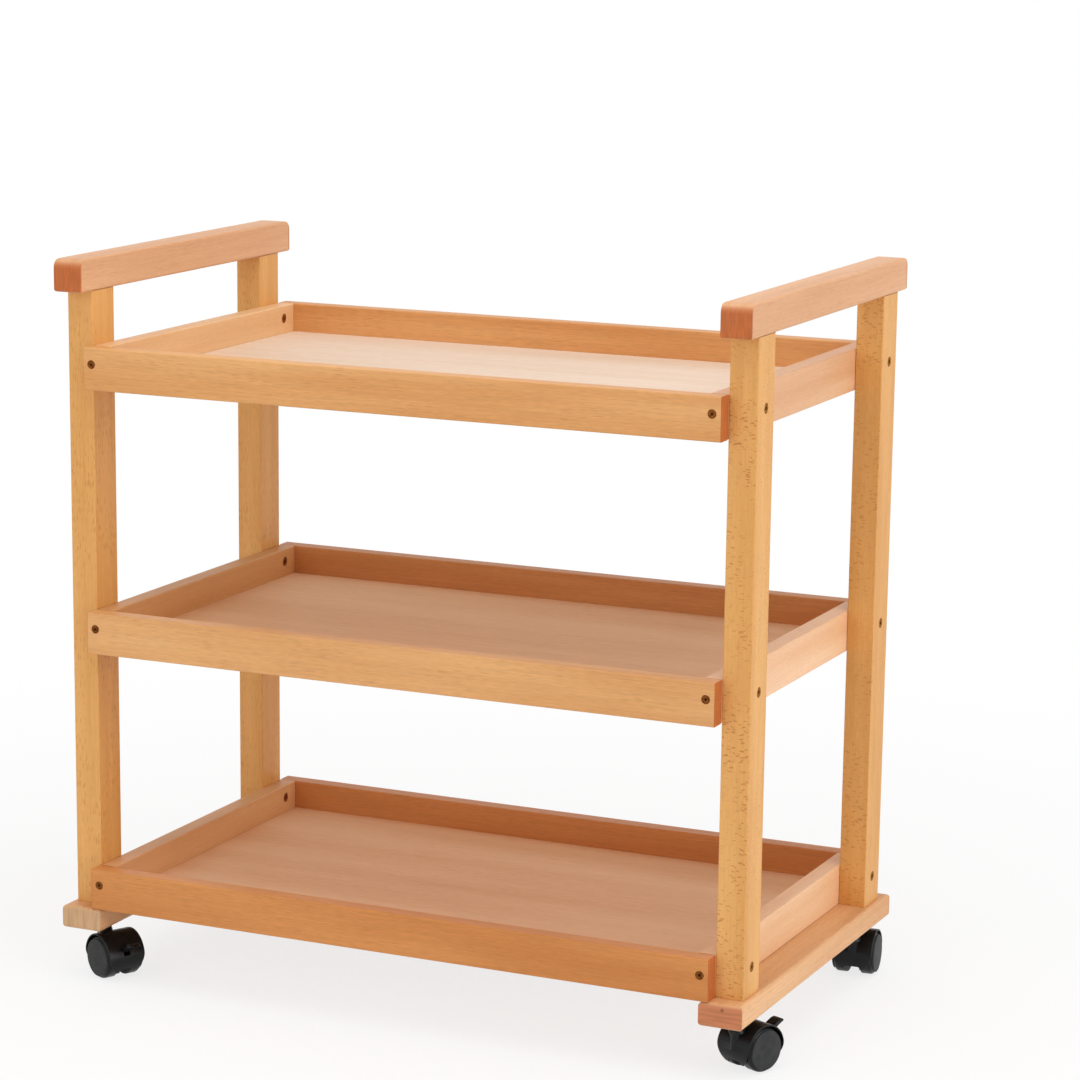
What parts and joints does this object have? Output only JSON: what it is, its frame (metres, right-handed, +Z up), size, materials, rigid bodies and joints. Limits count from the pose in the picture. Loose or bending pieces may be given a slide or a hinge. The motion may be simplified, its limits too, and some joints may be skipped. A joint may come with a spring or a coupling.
{
  "type": "rolling art supply cart",
  "caption": "Open beech trolley with stacked shallow trays between side posts, push bars on top and hooded twin-wheel swivel casters, for holding art supplies.",
  "frame": {"origin": "centre of the cart's footprint, on the floor", "axes": "+X to the cart's right along the trays, +Y to the back, +Z up"},
  "size_m": [0.7334, 0.408, 0.704],
  "materials": {
    "lacquered_beech": "satin clear lacquer",
    "lacquered_plywood": "satin clear lacquer over beech veneer",
    "bronzed_steel": "bronze-plated, dark",
    "zinc_steel": "zinc plated",
    "hood_nylon": "moulded, satin black",
    "wheel_nylon": "moulded, satin charcoal"
  },
  "bodies": {
    "frame": {"front_left_post": "lacquered_beech", "front_right_post": "lacquered_beech", "back_left_post": "lacquered_beech", "back_right_post": "lacquered_beech", "left_handle": "lacquered_beech", "right_handle": "lacquered_beech", "left_foot_rail": "lacquered_beech", "right_foot_rail": "lacquered_beech", "bottom_tray_front_rail": "lacquered_beech", "bottom_tray_back_rail": "lacquered_beech", "bottom_tray_left_rail": "lacquered_beech", "bottom_tray_right_rail": "lacquered_beech", "bottom_tray_panel": "lacquered_plywood", "middle_tray_front_rail": "lacquered_beech", "middle_tray_back_rail": "lacquered_beech", "middle_tray_left_rail": "lacquered_beech", "middle_tray_right_rail": "lacquered_beech", "middle_tray_panel": "lacquered_plywood", "top_tray_front_rail": "lacquered_beech", "top_tray_back_rail": "lacquered_beech", "top_tray_left_rail": "lacquered_beech", "top_tray_right_rail": "lacquered_beech", "top_tray_panel": "lacquered_plywood", "tray_corner_screws": "bronzed_steel", "post_bolts": "bronzed_steel", "post_bolt_nuts": "bronzed_steel", "handle_dowels": "lacquered_beech", "foot_rail_screws": "bronzed_steel", "caster_inserts": "zinc_steel", "front_left_stem": "zinc_steel", "front_right_stem": "zinc_steel", "back_left_stem": "zinc_steel", "back_right_stem": "zinc_steel"},
    "front_left_caster": {"front_left_hood": "hood_nylon", "front_left_axle": "zinc_steel", "front_left_brake_pin": "zinc_steel"},
    "front_left_wheel_a": {"front_left_wheel_a": "wheel_nylon"},
    "front_left_wheel_b": {"front_left_wheel_b": "wheel_nylon"},
    "front_left_brake_lever": {"front_left_brake_lever": "hood_nylon"},
    "front_right_caster": {"front_right_hood": "hood_nylon", "front_right_axle": "zinc_steel", "front_right_brake_pin": "zinc_steel"},
    "front_right_wheel_a": {"front_right_wheel_a": "wheel_nylon"},
    "front_right_wheel_b": {"front_right_wheel_b": "wheel_nylon"},
    "front_right_brake_lever": {"front_right_brake_lever": "hood_nylon"},
    "back_left_caster": {"back_left_hood": "hood_nylon", "back_left_axle": "zinc_steel"},
    "back_left_wheel_a": {"back_left_wheel_a": "wheel_nylon"},
    "back_left_wheel_b": {"back_left_wheel_b": "wheel_nylon"},
    "back_right_caster": {"back_right_hood": "hood_nylon", "back_right_axle": "zinc_steel"},
    "back_right_wheel_a": {"back_right_wheel_a": "wheel_nylon"},
    "back_right_wheel_b": {"back_right_wheel_b": "wheel_nylon"}
  },
  "joints": [
    {"name": "front_left_swivel", "type": "hinge", "parent": "frame", "child": "front_left_caster", "pos_m": [-0.332, -0.156, 0.053], "axis": [0, 0, 1], "continuous": true},
    {"name": "front_left_wheel_a_spin", "type": "hinge", "parent": "front_left_caster", "child": "front_left_wheel_a", "pos_m": [-0.31611, -0.16445, 0.021], "axis": [0.4695, 0.8829, 0], "continuous": true},
    {"name": "front_left_wheel_b_spin", "type": "hinge", "parent": "front_left_caster", "child": "front_left_wheel_b", "pos_m": [-0.31611, -0.16445, 0.021], "axis": [0.4695, 0.8829, 0], "continuous": true},
    {"name": "front_left_brake", "type": "hinge", "parent": "front_left_caster", "child": "front_left_brake_lever", "pos_m": [-0.3049, -0.17041, 0.02692], "axis": [0.4695, 0.8829, 0], "range_deg": [0, 18]},
    {"name": "front_right_swivel", "type": "hinge", "parent": "frame", "child": "front_right_caster", "pos_m": [0.332, -0.156, 0.053], "axis": [0, 0, 1], "continuous": true},
    {"name": "front_right_wheel_a_spin", "type": "hinge", "parent": "front_right_caster", "child": "front_right_wheel_a", "pos_m": [0.33903, -0.13943, 0.021], "axis": [-0.9205, 0.3907, 0], "continuous": true},
    {"name": "front_right_wheel_b_spin", "type": "hinge", "parent": "front_right_caster", "child": "front_right_wheel_b", "pos_m": [0.33903, -0.13943, 0.021], "axis": [-0.9205, 0.3907, 0], "continuous": true},
    {"name": "front_right_brake", "type": "hinge", "parent": "front_right_caster", "child": "front_right_brake_lever", "pos_m": [0.34399, -0.12775, 0.02692], "axis": [-0.9205, 0.3907, 0], "range_deg": [0, 18]},
    {"name": "back_left_swivel", "type": "hinge", "parent": "frame", "child": "back_left_caster", "pos_m": [-0.332, 0.156, 0.053], "axis": [0, 0, 1], "continuous": true},
    {"name": "back_left_wheel_a_spin", "type": "hinge", "parent": "back_left_caster", "child": "back_left_wheel_a", "pos_m": [-0.33903, 0.13943, 0.021], "axis": [0.9205, -0.3907, 0], "continuous": true},
    {"name": "back_left_wheel_b_spin", "type": "hinge", "parent": "back_left_caster", "child": "back_left_wheel_b", "pos_m": [-0.33903, 0.13943, 0.021], "axis": [0.9205, -0.3907, 0], "continuous": true},
    {"name": "back_right_swivel", "type": "hinge", "parent": "frame", "child": "back_right_caster", "pos_m": [0.332, 0.156, 0.053], "axis": [0, 0, 1], "continuous": true},
    {"name": "back_right_wheel_a_spin", "type": "hinge", "parent": "back_right_caster", "child": "back_right_wheel_a", "pos_m": [0.33012, 0.1739, 0.021], "axis": [-0.9945, -0.1045, 0], "continuous": true},
    {"name": "back_right_wheel_b_spin", "type": "hinge", "parent": "back_right_caster", "child": "back_right_wheel_b", "pos_m": [0.33012, 0.1739, 0.021], "axis": [-0.9945, -0.1045, 0], "continuous": true}
  ]
}
